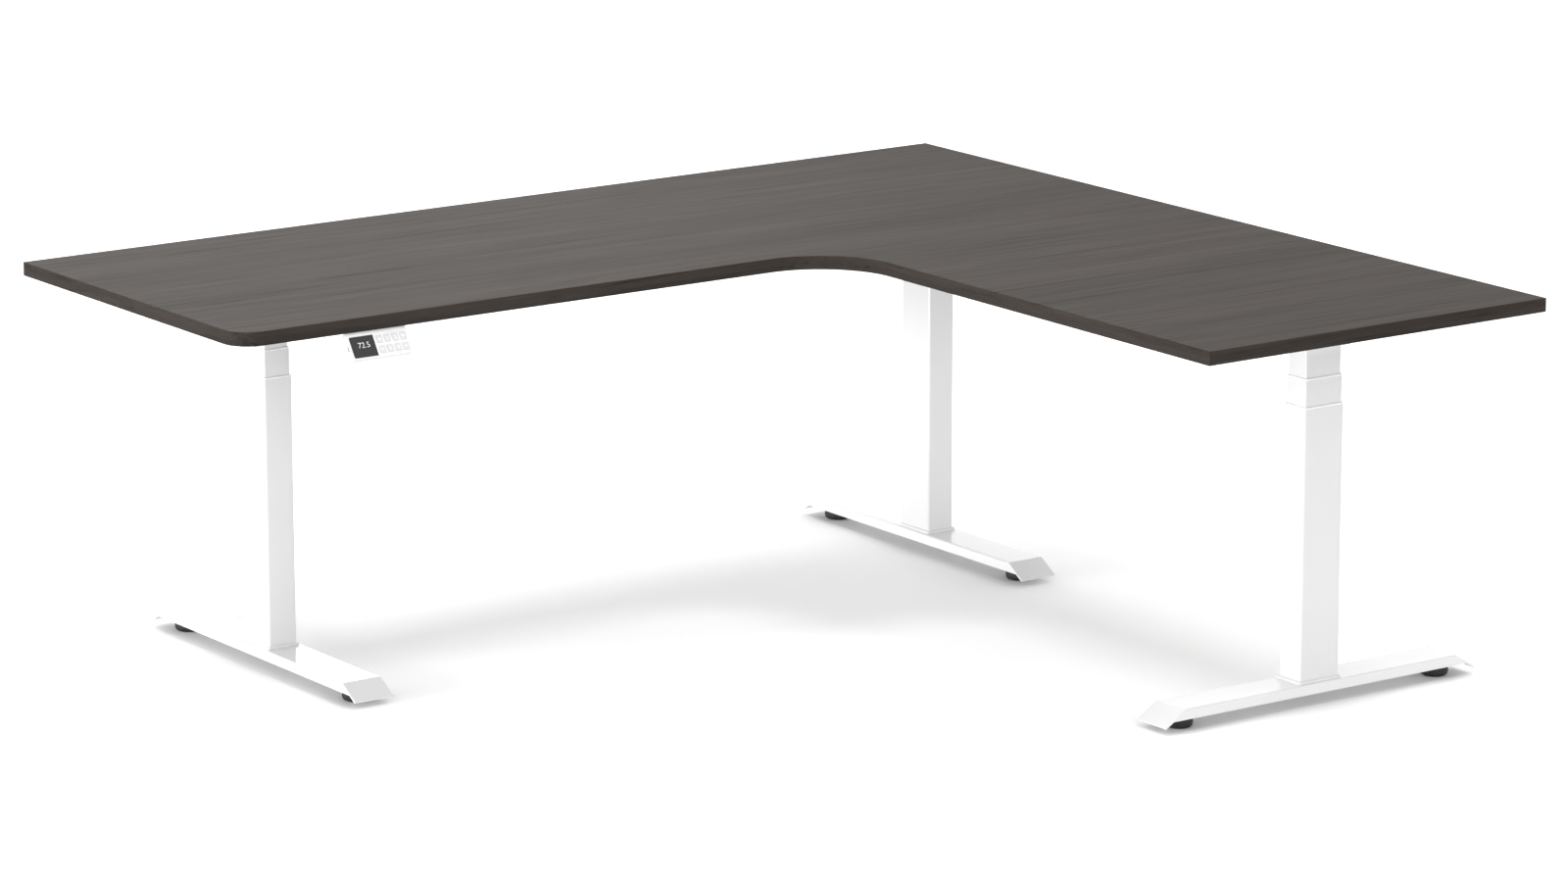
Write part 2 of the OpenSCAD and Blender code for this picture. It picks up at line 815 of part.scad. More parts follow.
module key(at) {
    color(white) at_handset() translate([0, 0, key_proud - key_thick])
        linear_extrude(key_thick) key_outline(at, 0);
}

// ---- Assembly ----

desktop_panel();
edge_band();
main_rails();
return_rails();
outer_collars();
base_nuts();
foot_bolts();
frame_screws();
control_box_base();
control_box_lid();
power_inlet();
under_desk_leads();
lead_clips();
handset_housing();
handset_lens();
charge_port();
for (leg = LEGS) {
    at_leg(leg) foot();
    at_leg(leg) outer_tube();
    at_leg(leg) middle_tube();
    at_leg(leg) middle_collar();
    at_leg(leg) inner_tube();
    at_leg(leg) bracket();
    at_leg(leg) gearbox();
    at_leg(leg) motor();
    at_leg(leg) upper_screw();
    at_leg(leg) lower_screw();
    at_leg(leg) glide(1);
    at_leg(leg) glide(-1);
}
for (k = KEYS) {
    key(k);
}
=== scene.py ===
"""Looks for the height adjustable corner desk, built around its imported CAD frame."""
import json
import math

import bmesh
import bpy
from mathutils import Matrix, Vector


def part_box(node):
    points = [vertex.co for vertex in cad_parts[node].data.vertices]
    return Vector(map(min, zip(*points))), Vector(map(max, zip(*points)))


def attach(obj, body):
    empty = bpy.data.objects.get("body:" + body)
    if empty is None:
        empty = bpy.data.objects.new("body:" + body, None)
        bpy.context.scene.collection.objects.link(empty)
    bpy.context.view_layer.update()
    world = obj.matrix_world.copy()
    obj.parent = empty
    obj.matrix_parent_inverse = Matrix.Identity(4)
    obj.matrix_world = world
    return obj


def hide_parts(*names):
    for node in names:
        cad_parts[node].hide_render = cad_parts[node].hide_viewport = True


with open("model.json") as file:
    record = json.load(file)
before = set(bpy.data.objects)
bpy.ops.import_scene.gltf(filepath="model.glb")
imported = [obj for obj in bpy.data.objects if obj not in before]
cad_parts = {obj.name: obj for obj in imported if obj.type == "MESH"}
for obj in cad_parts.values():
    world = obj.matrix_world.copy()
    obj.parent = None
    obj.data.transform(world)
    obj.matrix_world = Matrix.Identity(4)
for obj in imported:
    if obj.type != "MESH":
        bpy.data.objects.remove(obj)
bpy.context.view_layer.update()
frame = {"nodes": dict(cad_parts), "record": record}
MM = 0.001
LEGS = ("left", "corner", "return")
ENDS = ("a", "b")
LEG_TURN = {"left": 0.0, "corner": math.pi, "return": math.pi / 2}


# ---------------------------------------------------------------- camera, light and ground

SENSOR_MM = 36.0
LENS_MM = 143.8
CAMERA_PLACE = (-6.2212, -8.7857, 2.9423)
LOOKS_DOWN = 13.242
LOOKS_RIGHT = 35.392
VIEW_LENGTH = 60.0


def add_camera():
    data = bpy.data.cameras.new("view")
    data.sensor_width = SENSOR_MM
    data.lens = LENS_MM
    data.clip_end = VIEW_LENGTH
    cam = bpy.data.objects.new("view", data)
    cam.location = CAMERA_PLACE
    cam.rotation_euler = (math.radians(90 - LOOKS_DOWN), 0.0, math.radians(-LOOKS_RIGHT))
    bpy.context.scene.collection.objects.link(cam)
    bpy.context.scene.camera = cam


def add_light(data, place, target):
    light = bpy.data.objects.new(data.name, data)
    light.location = place
    light.rotation_euler = (Vector(target) - Vector(place)).to_track_quat("-Z", "Y").to_euler()
    bpy.context.scene.collection.objects.link(light)


def add_area(name, place, target, size, power):
    data = bpy.data.lights.new(name, "AREA")
    data.shape = "RECTANGLE"
    data.size, data.size_y = size
    data.energy = power
    add_light(data, place, target)


def add_spot(name, place, target, angle, power):
    data = bpy.data.lights.new(name, "SPOT")
    data.energy = power
    data.spot_size = math.radians(angle)
    data.spot_blend = 1.0
    data.shadow_soft_size = 0.25
    add_light(data, place, target)


def add_world(horizon, zenith):
    """Soft white surround, brightest near the horizon as in a studio with lit walls."""
    world = bpy.data.worlds.new("studio")
    bpy.context.scene.world = world
    world.use_nodes = True
    tree = world.node_tree
    back = tree.nodes["Background"]
    back.inputs["Color"].default_value = (1, 1, 1, 1)
    way = tree.nodes.new("ShaderNodeTexCoord").outputs["Generated"]
    split = tree.nodes.new("ShaderNodeSeparateXYZ")
    tree.links.new(way, split.inputs[0])
    fade = tree.nodes.new("ShaderNodeMapRange")
    fade.interpolation_type = "SMOOTHSTEP"
    fade.inputs["From Min"].default_value = 0.2
    fade.inputs["From Max"].default_value = 0.75
    fade.inputs["To Min"].default_value = horizon
    fade.inputs["To Max"].default_value = zenith
    tree.links.new(split.outputs["Z"], fade.inputs["Value"])
    tree.links.new(fade.outputs["Result"], back.inputs["Strength"])


GROUND_HALF = 30
FLOOR_WHITE = 1.24
FLOOR_SHADED = 0.82
FLOOR_BOUNCE = 0.9
CONTACT_REACH = 0.11


def add_floor():
    """Plain white ground. The camera sees it a little whiter than it lights the object, and
    darker close under things, where a contact shadow lies."""
    mesh = bpy.data.meshes.new("ground")
    shape = bmesh.new()
    bmesh.ops.create_grid(shape, x_segments=4, y_segments=4, size=GROUND_HALF)
    shape.to_mesh(mesh)
    shape.free()
    ground = bpy.data.objects.new("ground", mesh)
    bpy.context.scene.collection.objects.link(ground)
    skin = bpy.data.materials.new("ground")
    skin.use_nodes = True
    tree = skin.node_tree
    tree.nodes.remove(tree.nodes["Principled BSDF"])
    seen = tree.nodes.new("ShaderNodeLightPath").outputs["Is Camera Ray"]
    seen_white = tree.nodes.new("ShaderNodeBsdfDiffuse")
    near = tree.nodes.new("ShaderNodeAmbientOcclusion")
    near.inputs["Distance"].default_value = CONTACT_REACH
    tone = tree.nodes.new("ShaderNodeMapRange")
    tone.inputs["From Min"].default_value = 0.2
    tone.inputs["From Max"].default_value = 0.95
    tone.inputs["To Min"].default_value = FLOOR_SHADED
    tone.inputs["To Max"].default_value = FLOOR_WHITE
    tree.links.new(near.outputs["AO"], tone.inputs["Value"])
    tree.links.new(tone.outputs["Result"], seen_white.inputs["Color"])
    bounce = tree.nodes.new("ShaderNodeBsdfDiffuse")
    bounce.inputs["Color"].default_value = (FLOOR_BOUNCE, FLOOR_BOUNCE, FLOOR_BOUNCE, 1)
    mix = tree.nodes.new("ShaderNodeMixShader")
    tree.links.new(seen, mix.inputs[0])
    tree.links.new(bounce.outputs[0], mix.inputs[1])
    tree.links.new(seen_white.outputs[0], mix.inputs[2])
    tree.links.new(mix.outputs[0], tree.nodes["Material Output"].inputs["Surface"])
    mesh.materials.append(skin)


# ---------------------------------------------------------------- materials

class Skin:
    """A Principled material with a few shortcuts for wiring procedural detail into it."""

    def __init__(self, name, color, roughness, metallic=0.0, specular=0.5):
        self.mat = bpy.data.materials.new(name)
        self.mat.use_nodes = True
        self.tree = self.mat.node_tree
        self.face = self.tree.nodes["Principled BSDF"]
        self.face.inputs["Base Color"].default_value = (*color, 1)
        self.face.inputs["Roughness"].default_value = roughness
        self.face.inputs["Metallic"].default_value = metallic
        self.face.inputs["Specular IOR Level"].default_value = specular
        self.color = color
        self.normal = None

    def add(self, kind, **values):
        node = self.tree.nodes.new(kind)
        for key, value in values.items():
            setattr(node, key, value)
        return node

    def link(self, a, b):
        self.tree.links.new(a, b)

    def coords(self, scale=(1, 1, 1), warp=None):
        """Object space, which is the row frame in metres, stretched by scale."""
        place = self.add("ShaderNodeTexCoord").outputs["Object"]
        if warp is not None:
            mix = self.add("ShaderNodeVectorMath", operation="ADD")
            self.link(place, mix.inputs[0])
            self.link(warp, mix.inputs[1])
            place = mix.outputs[0]
        mapping = self.add("ShaderNodeMapping")
        mapping.inputs["Scale"].default_value = scale
        self.link(place, mapping.inputs["Vector"])
        return mapping.outputs["Vector"]

    def noise(self, vector, scale, detail=2.0, rough=0.5, distortion=0.0):
        node = self.add("ShaderNodeTexNoise")
        node.inputs["Scale"].default_value = scale
        node.inputs["Detail"].default_value = detail
        node.inputs["Roughness"].default_value = rough
        node.inputs["Distortion"].default_value = distortion
        self.link(vector, node.inputs["Vector"])
        return node.outputs["Fac"]

    def spread(self, value, low, high, to_low, to_high):
        node = self.add("ShaderNodeMapRange")
        node.inputs["From Min"].default_value = low
        node.inputs["From Max"].default_value = high
        node.inputs["To Min"].default_value = to_low
        node.inputs["To Max"].default_value = to_high
        self.link(value, node.inputs["Value"])
        return node.outputs["Result"]

    def ramp(self, value, stops):
        node = self.add("ShaderNodeValToRGB")
        line = node.color_ramp
        while len(line.elements) < len(stops):
            line.elements.new(0.5)
        for element, (place, color) in zip(line.elements, stops):
            element.position = place
            element.color = (*color, 1)
        self.link(value, node.inputs["Fac"])
        return node.outputs["Color"]

    def blend(self, fac, a, b, how="MIX"):
        node = self.add("ShaderNodeMix", data_type="RGBA", blend_type=how)
        for socket, value in ((node.inputs[0], fac), (node.inputs[6], a), (node.inputs[7], b)):
            if hasattr(value, "is_linked"):
                self.link(value, socket)
            elif isinstance(value, tuple):
                socket.default_value = (*value, 1)
            else:
                socket.default_value = value
        return node.outputs[2]

    def base(self, socket):
        self.link(socket, self.face.inputs["Base Color"])

    def rough(self, socket):
        self.link(socket, self.face.inputs["Roughness"])

    def bump(self, height, strength, distance):
        node = self.add("ShaderNodeBump")
        node.inputs["Strength"].default_value = strength
        node.inputs["Distance"].default_value = distance
        self.link(height, node.inputs["Height"])
        if self.normal is not None:
            self.link(self.normal, node.inputs["Normal"])
        self.normal = node.outputs["Normal"]
        self.link(self.normal, self.face.inputs["Normal"])

    def speckle(self, amount, scale=90.0):
        """Very slight drift of the base colour, as a moulded or coated surface has."""
        drift = self.noise(self.coords(), scale, 3.0)
        dark = tuple(c * (1 - amount) for c in self.color)
        light = tuple(min(1.0, c * (1 + amount)) for c in self.color)
        self.base(self.ramp(drift, ((0.3, dark), (0.7, light))))


def shade(color, k):
    return tuple(c * k for c in color)


def figure(skin, warp, way, color, contrast):
    """Wood figure whose streaks run along way: returns its colour, its streaks and its pores."""
    def stretched(slow, fast):
        return skin.coords(tuple(slow if w else fast for w in way), warp=warp)

    white = (1, 1, 1)
    broad = skin.noise(stretched(0.5, 7.0), 1.0, 4.0, 0.6, 0.3)
    band = skin.noise(stretched(0.9, 26.0), 1.0, 4.0, 0.65, 0.5)
    streak = skin.noise(stretched(2.6, 95.0), 1.0, 6.0, 0.7, 0.35)
    fine = skin.noise(stretched(14.0, 700.0), 1.0, 3.0, 0.6)
    warm = (color[0] * 1.03, color[1] * 0.995, color[2] * 0.96)
    tone = skin.ramp(broad, ((0.30, shade(color, 1 - 1.0 * contrast)), (0.5, color),
                             (0.72, shade(warm, 1 + 0.9 * contrast))))
    bands = skin.ramp(band, ((0.34, shade(white, 1 - 1.1 * contrast)), (0.5, white),
                             (0.68, shade(white, 1 + 0.8 * contrast))))
    lines = skin.ramp(streak, ((0.30, shade(white, 1 - 2.6 * contrast)), (0.44, white),
                               (0.60, white), (0.72, shade(white, 1 + 1.2 * contrast))))
    pores = skin.ramp(fine, ((0.30, shade(white, 1 - 1.8 * contrast)), (0.45, white)))
    for layer in (bands, lines, pores):
        tone = skin.blend(1.0, tone, layer, "MULTIPLY")
    return tone, streak, fine


def laminate(name, color, contrast, turned=False):
    """Dark laminate: long streaks along X, fine pores and a faint drift between boards of figure.
    A turned one runs its streaks along Y wherever the surface faces X, as an edge band does."""
    skin = Skin(name, color, 0.6, specular=0.08)
    sway = skin.noise(skin.coords((0.6, 3.0, 3.0)), 1.0, 2.0)
    bend = skin.add("ShaderNodeVectorMath", operation="SCALE")
    bend.inputs["Scale"].default_value = 0.05
    skin.link(sway, bend.inputs[0])
    along = [figure(skin, bend.outputs[0], (1, 0, 0), color, contrast)]
    if turned:
        along.append(figure(skin, bend.outputs[0], (0, 1, 0), color, contrast))
        facing = skin.add("ShaderNodeSeparateXYZ")
        skin.link(skin.add("ShaderNodeNewGeometry").outputs["Normal"], facing.inputs[0])
        side = skin.add("ShaderNodeMath", operation="ABSOLUTE")
        skin.link(facing.outputs["X"], side.inputs[0])
        pick = skin.spread(side.outputs[0], 0.6, 0.8, 0.0, 1.0)
        tone = skin.blend(pick, along[0][0], along[1][0])
    else:
        tone = along[0][0]
    skin.base(tone)
    streak, fine = along[0][1:]
    skin.rough(skin.spread(streak, 0.3, 0.7, 0.66, 0.56))
    skin.bump(fine, 0.12, 0.0003)
    return skin.mat


def powder_coat(name, color, roughness, peel=0.10):
    """Baked powder coat: a soft orange peel over a smooth gloss, with a slight drift in sheen."""
    skin = Skin(name, color, roughness, specular=0.5)
    skin.speckle(0.004, 5.0)
    sheen = skin.noise(skin.coords(), 26.0, 3.0)
    skin.rough(skin.spread(sheen, 0.3, 0.7, roughness * 0.92, roughness * 1.09))
    skin.bump(skin.noise(skin.coords(), 520.0, 1.0, 0.4), peel, 0.00012)
    skin.face.inputs["Coat Weight"].default_value = 0.25
    skin.face.inputs["Coat Roughness"].default_value = 0.12
    return skin.mat


def moulded(name, color, roughness, grain=0.25, size=1500.0):
    """Moulded plastic with a fine spark-eroded grain."""
    skin = Skin(name, color, roughness, specular=0.45)
    skin.speckle(0.03, 220.0)
    grit = skin.add("ShaderNodeTexVoronoi", feature="F1")
    grit.inputs["Scale"].default_value = size
    skin.link(skin.coords(), grit.inputs["Vector"])
    sheen = skin.noise(skin.coords(), 24.0, 3.0)
    skin.rough(skin.spread(sheen, 0.3, 0.7, roughness * 0.93, roughness * 1.08))
    skin.bump(grit.outputs["Distance"], grain, 0.0002)
    return skin.mat


def machined(name, color, roughness):
    """Bare turned steel with fine rings along its length."""
    skin = Skin(name, color, roughness, metallic=1.0)
    skin.speckle(0.06, 60.0)
    turns = skin.noise(skin.coords((20.0, 20.0, 1500.0)), 1.0, 2.0)
    skin.rough(skin.spread(turns, 0.3, 0.7, roughness * 0.8, roughness * 1.3))
    skin.bump(turns, 0.15, 0.0002)
    return skin.mat


SKINS = {
    "desktop": laminate("laminate", (0.0422, 0.0348, 0.0304), 0.15),
    "edge_band": laminate("edge_laminate", (0.0410, 0.0335, 0.0290), 0.22, turned=True),
    "white_coat": powder_coat("white_powder_coat", (0.76, 0.76, 0.76), 0.30),
    # Painted light: the feet take a lighter copy of the white powder coat, so their tops read as
    # brightly lit
    "foot_coat_painted_light": powder_coat("white_feet_coat_painted_light", (0.83, 0.83, 0.83), 0.14, 0.03),
    # Partly painted highlight: the rings' own white plastic, made lighter than the tubes' coat so each
    # rim reads as a bright line
    "white_collar": moulded("white_nylon_and_painted_highlight", (0.96, 0.96, 0.96), 0.34, 0.04),
    "black_housing": moulded("black_housing", (0.020, 0.020, 0.021), 0.52),
    "motor_can": powder_coat("black_can", (0.018, 0.018, 0.019), 0.33),
    "steel": machined("bare_steel", (0.56, 0.56, 0.57), 0.32),
    "zinc": machined("zinc_plate", (0.62, 0.62, 0.60), 0.26),
    "glide": moulded("black_rubber", (0.016, 0.016, 0.016), 0.58, 0.3, 900.0),
    "lead": moulded("black_sheath", (0.014, 0.014, 0.014), 0.45, 0.05),
    "handset": moulded("white_satin_plastic", (0.84, 0.84, 0.84), 0.36, 0.06),
    "keys": moulded("light_key_plastic", (0.66, 0.66, 0.67), 0.46, 0.06),
    "print": moulded("white_print", (0.95, 0.95, 0.95), 0.4, 0.02),
    "lens": powder_coat("dark_lens", (0.031, 0.031, 0.032), 0.12, 0.01),
}


# ---------------------------------------------------------------- mesh helpers

def add_piece(name, mesh, skin, body):
    piece = bpy.data.objects.new(name, mesh)
    bpy.context.scene.collection.objects.link(piece)
    mesh.materials.clear()
    mesh.materials.append(SKINS[skin])
    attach(piece, body)
    return piece


def body_with(node):
    bodies = frame["record"]["behaviour"]["bodies"]
    return next(body for body, nodes in bodies.items() if node in nodes)


def stand_for(mesh, skin, *nodes):
    """A new piece that takes the place of these CAD nodes of one body."""
    piece = add_piece(nodes[0] + "_skin", mesh, skin, body_with(nodes[0]))
    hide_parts(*nodes)
    return piece


SAME_PLACE = 2e-6


def finish_mesh(name, shape, sharp=35):
    """The built shape as a mesh, smooth except at edges sharper than the angle."""
    bmesh.ops.recalc_face_normals(shape, faces=shape.faces)
    mesh = bpy.data.meshes.new(name)
    shape.to_mesh(mesh)
    shape.free()
    for face in mesh.polygons:
        face.use_smooth = True
    mesh.set_sharp_from_angle(angle=math.radians(sharp))
    return mesh


def soften(piece, width, segments=2, angle=30):
    """Rounds every edge sharper than angle and keeps flat faces shaded flat."""
    for face in piece.data.polygons:
        face.use_smooth = True
    bevel = piece.modifiers.new("soft_edges", "BEVEL")
    bevel.width = width
    bevel.segments = segments
    bevel.limit_method = "ANGLE"
    bevel.angle_limit = math.radians(angle)
    bevel.harden_normals = True
    bevel.use_clamp_overlap = True
    piece.modifiers.new("flat_faces", "WEIGHTED_NORMAL").keep_sharp = True


def clean_copy(node):
    """The CAD node's shape with shared corners and whole flat faces."""
    shape = bmesh.new()
    shape.from_mesh(frame["nodes"][node].data)
    bmesh.ops.remove_doubles(shape, verts=shape.verts, dist=SAME_PLACE)
    bmesh.ops.dissolve_limit(shape, angle_limit=math.radians(1.0), use_dissolve_boundaries=False,
                             verts=shape.verts, edges=shape.edges)
    mesh = bpy.data.meshes.new(node + "_skin")
    shape.to_mesh(mesh)
    shape.free()
    return mesh


def dress(node, skin, width=0.6 * MM, segments=2, angle=30):
    """A softened copy that stands for the CAD node."""
    piece = stand_for(clean_copy(node), skin, node)
    soften(piece, width, segments, angle)
    return piece


def islands(node):
    """The lowest and highest corner of each separate solid of a CAD node."""
    shape = bmesh.new()
    shape.from_mesh(frame["nodes"][node].data)
    bmesh.ops.remove_doubles(shape, verts=shape.verts, dist=SAME_PLACE)
    left = set(shape.verts)
    boxes = []
    for first in shape.verts:
        if first not in left:
            continue
        left.remove(first)
        stack = [first]
        group = []
        while stack:
            vert = stack.pop()
            group.append(vert.co.copy())
            for edge in vert.link_edges:
                other = edge.other_vert(vert)
                if other in left:
                    left.remove(other)
                    stack.append(other)
        boxes.append((Vector(map(min, zip(*group))), Vector(map(max, zip(*group)))))
    shape.free()
    return boxes


def ring(shape, points):
    return [shape.verts.new(point) for point in points]


def bridge(shape, a, b):
    for i in range(len(a)):
        j = (i + 1) % len(a)
        shape.faces.new((a[i], a[j], b[j], b[i]))


def loft(shape, loops, closed=False):
    """Faces between one loop of points and the next. The ends are capped, or joined if closed."""
    rings = [ring(shape, loop) for loop in loops]
    for a, b in zip(rings, rings[1:]):
        bridge(shape, a, b)
    if closed:
        bridge(shape, rings[-1], rings[0])
    else:
        shape.faces.new(rings[0])
        shape.faces.new(rings[-1])
    return rings


def circle(r, z, sides, centre=(0, 0)):
    turns = (2 * math.pi * k / sides for k in range(sides))
    return [(centre[0] + r * math.cos(t), centre[1] + r * math.sin(t), z) for t in turns]


def lathe(shape, profile, sides=64, centre=(0, 0)):
    """Turned solid about +Z from (radius, height) points, which begin and end near the axis."""
    return loft(shape, [circle(r, z, sides, centre) for r, z in profile])


def rounded(w, d, r, z, steps=8, centre=(0, 0)):
    """Points of a rounded rectangle, w along x and d along y."""
    points = []
    for k, (sx, sy) in enumerate(((1, 1), (-1, 1), (-1, -1), (1, -1))):
        for i in range(steps + 1):
            turn = math.pi / 2 * (k + i / steps)
            points.append((centre[0] + sx * (w / 2 - r) + r * math.cos(turn),
                           centre[1] + sy * (d / 2 - r) + r * math.sin(turn), z))
    return points


def centre_of(node):
    low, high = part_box(node)
    return Vector(((low[0] + high[0]) / 2, (low[1] + high[1]) / 2, (low[2] + high[2]) / 2))


def leg_matrix(leg):
    """From a leg's own frame, foot along y and motor on the +x side, to the row frame."""
    place = centre_of(leg + "_inner_tube")
    return Matrix.Translation((place.x, place.y, 0)) @ Matrix.Rotation(LEG_TURN[leg], 4, "Z")


def leg_box(leg, node):
    """A node's box in its leg's own frame."""
    low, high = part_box(leg + "_" + node)
    back = leg_matrix(leg).inverted()
    ends = [back @ Vector(low), back @ Vector(high)]
    return Vector(map(min, zip(*ends))), Vector(map(max, zip(*ends)))


# ---------------------------------------------------------------- desktop

WING = 0.750
CURVE = 0.150
CORNER = 0.050
BAND = 0.002
EDGE_ROUND = 1.1 * MM


OUTLINE_STEPS = 40


def outline(inset, z):
    """Plan of the desktop drawn smaller by inset, anticlockwise."""
    steps = OUTLINE_STEPS
    low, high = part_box("edge_band")
    front = high[1] - WING
    inner = high[0] - WING
    points = []
    for i in range(steps + 1):
        turn = math.pi + math.pi / 2 * i / steps
        points.append((low[0] + CORNER + (CORNER - inset) * math.cos(turn),
                       front + CORNER + (CORNER - inset) * math.sin(turn), z))
    for i in range(steps + 1):
        turn = math.pi / 2 * (1 - i / steps)
        points.append((inner - CURVE + (CURVE + inset) * math.cos(turn),
                       front - CURVE + (CURVE + inset) * math.sin(turn), z))
    points += [(inner + inset, low[1] + inset, z), (high[0] - inset, low[1] + inset, z),
               (high[0] - inset, high[1] - inset, z), (low[0] + inset, high[1] - inset, z)]
    return points


def arris(r, steps=4):
    """(inset, drop) points round a rounded edge, from the side up to the face."""
    return [(r * (1 - math.cos(a)), r * (1 - math.sin(a))) for a in
            (math.pi / 2 * i / steps for i in range(steps + 1))]


def add_desktop():
    low, high = (c[2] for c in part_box("desktop_panel"))
    shape = bmesh.new()
    loft(shape, [outline(BAND, low), outline(BAND, high)])
    stand_for(finish_mesh("desktop_panel_skin", shape), "desktop", "desktop_panel")
    shape = bmesh.new()
    edge = arris(EDGE_ROUND)
    loops = [outline(inset, low + drop) for inset, drop in reversed(edge)]
    loops += [outline(inset, high - drop) for inset, drop in edge]
    loops += [outline(BAND, high), outline(BAND, low)]
    loft(shape, loops, closed=True)
    stand_for(finish_mesh("edge_band_skin", shape, 50), "edge_band", "edge_band")


# ---------------------------------------------------------------- legs

TUBE_R = 5.0 * MM
TUBE_WALL = 1.5 * MM
STAGE_R_STEP = 1.25 * MM
RIM_ROUND = 0.4 * MM
WELD = 2.4 * MM
PLATE_LIP = 4.0 * MM
PLATE_THICK = 5.0 * MM
HEAD_HALF = 50.0 * MM
RIB_X = 10.5 * MM


def inset_loop(w, d, r, inset, z):
    """A rounded rectangle drawn smaller by inset on every side."""
    return rounded(w - 2 * inset, d - 2 * inset, r - inset, z)


def tube_loops(w, d, r, wall, low, high):
    loops = [rounded(w, d, r, low)]
    loops += [inset_loop(w, d, r, i, high - drop) for i, drop in arris(RIM_ROUND, 3)]
    loops += [inset_loop(w, d, r, wall, high), inset_loop(w, d, r, wall, low)]
    return loops


def add_tube(leg, part, r):
    low, high = leg_box(leg, part)
    w, d = high.x - low.x, high.y - low.y
    shape = bmesh.new()
    if part == "outer_tube":
        # Base plate, softened all round, with the column standing on it and a weld between them
        top = low.z + PLATE_THICK
        plate_r = TUBE_R + 1 * MM
        loops = [inset_loop(w, d, plate_r, i, low.z + drop)
                 for i, drop in reversed(arris(0.5 * MM, 2))]
        loops += [inset_loop(w, d, plate_r, i, top - drop) for i, drop in arris(0.9 * MM, 3)]
        loft(shape, loops)
        w, d = w - 2 * PLATE_LIP, d - 2 * PLATE_LIP
        sunk = 0.05 * MM
        turns = (math.pi / 2 * i / 5 for i in range(6))
        bead = [(WELD * (1 - math.sin(a)), WELD * (1 - math.cos(a))) for a in turns]
        loops = [inset_loop(w, d, r, -i, top + z - sunk) for i, z in bead]
        loops += [inset_loop(w, d, r, 0.5 * MM, z) for z in (top + WELD, top - sunk)]
        loft(shape, loops, closed=True)
        low.z = top
    loft(shape, tube_loops(w, d, r, TUBE_WALL, low.z, high.z), closed=True)
    shape.transform(leg_matrix(leg))
    node = leg + "_" + part
    stand_for(finish_mesh(node + "_skin", shape), "white_coat", node)


def collar_loops(low, high, w, d, r, wall):
    """Rim ring with a guide skirt inside the stage."""
    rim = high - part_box("outer_collars")[1][2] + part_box("left_outer_tube")[1][2]
    hole = 2.15 * MM
    loops = [rounded(w, d, r, rim)]
    loops += [inset_loop(w, d, r, i, high - drop) for i, drop in arris(0.9 * MM, 4)]
    loops += [inset_loop(w, d, r, hole - i, high - drop) for i, drop in reversed(arris(RIM_ROUND, 2))]
    loops += [inset_loop(w, d, r, hole, low), inset_loop(w, d, r, wall, low)]
    loops += [inset_loop(w, d, r, wall, rim)]
    return loops


def add_collars():
    """Bright guide rings at each stage's rim, their outer edge turned well back to catch the light.
    Their white is partly the rings' own plastic and partly a painted highlight, lighter than the tubes'
    coat.
    """
    shape = bmesh.new()
    for leg in LEGS:
        low, high = leg_box(leg, "middle_collar")
        part = bmesh.new()
        w, d = high.x - low.x, high.y - low.y
        loft(part, collar_loops(low.z, high.z, w, d, TUBE_R - STAGE_R_STEP, TUBE_WALL), closed=True)
        part.transform(leg_matrix(leg))
        node = leg + "_middle_collar"
        stand_for(finish_mesh(node + "_skin", part), "white_collar", node)
        low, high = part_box("outer_collars")
        plate_low, plate_high = leg_box(leg, "outer_tube")
        w = plate_high.x - plate_low.x - 2 * PLATE_LIP
        d = plate_high.y - plate_low.y - 2 * PLATE_LIP
        loops = collar_loops(low[2], high[2], w, d, TUBE_R, TUBE_WALL)
        turn = leg_matrix(leg)
        loft(shape, [[turn @ Vector(p) for p in loop] for loop in loops], closed=True)
    stand_for(finish_mesh("outer_collars_skin", shape), "white_collar", "outer_collars")


def add_glide(node):
    """Low turned pad with a grip rim and a threaded stud."""
    low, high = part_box(node)
    spot = centre_of(node)
    r = (high[0] - low[0]) / 2
    z = low[2]
    pad = [(0.5 * MM, z), (r - 7 * MM, z), (r - 4.4 * MM, z + 0.6 * MM), (r - 2.6 * MM, z + 1.8 * MM),
           (r - 1.2 * MM, z + 3.6 * MM), (r - 0.3 * MM, z + 6.2 * MM), (r, z + 9 * MM),
           (r - 0.1 * MM, z + 12 * MM), (r - 0.6 * MM, z + 15 * MM), (r - 1.6 * MM, z + 17.6 * MM),
           (r - 3.2 * MM, z + 19.2 * MM), (r - 5.2 * MM, z + 20 * MM), (8.2 * MM, z + 20 * MM),
           (7.6 * MM, z + 19.6 * MM), (0.5 * MM, z + 19.6 * MM)]
    shape = bmesh.new()
    lathe(shape, pad, 72, (spot.x, spot.y))
    stand_for(finish_mesh(node + "_skin", shape), "glide", node)
    stud = bmesh.new()
    profile = [(0.5 * MM, z + 19 * MM), (3.4 * MM, z + 19 * MM)]
    turns = 13
    for k in range(turns):
        step = (high[2] - 0.6 * MM - z - 19.4 * MM) / turns
        base = z + 19.4 * MM + k * step
        profile += [(3.45 * MM, base), (3.98 * MM, base + 0.35 * step), (3.98 * MM, base + 0.55 * step)]
    profile += [(3.3 * MM, high[2]), (0.5 * MM, high[2])]
    lathe(stud, profile, 32, (spot.x, spot.y))
    add_piece(node + "_stud", finish_mesh(node + "_stud", stud, 60), "zinc", body_with(node))


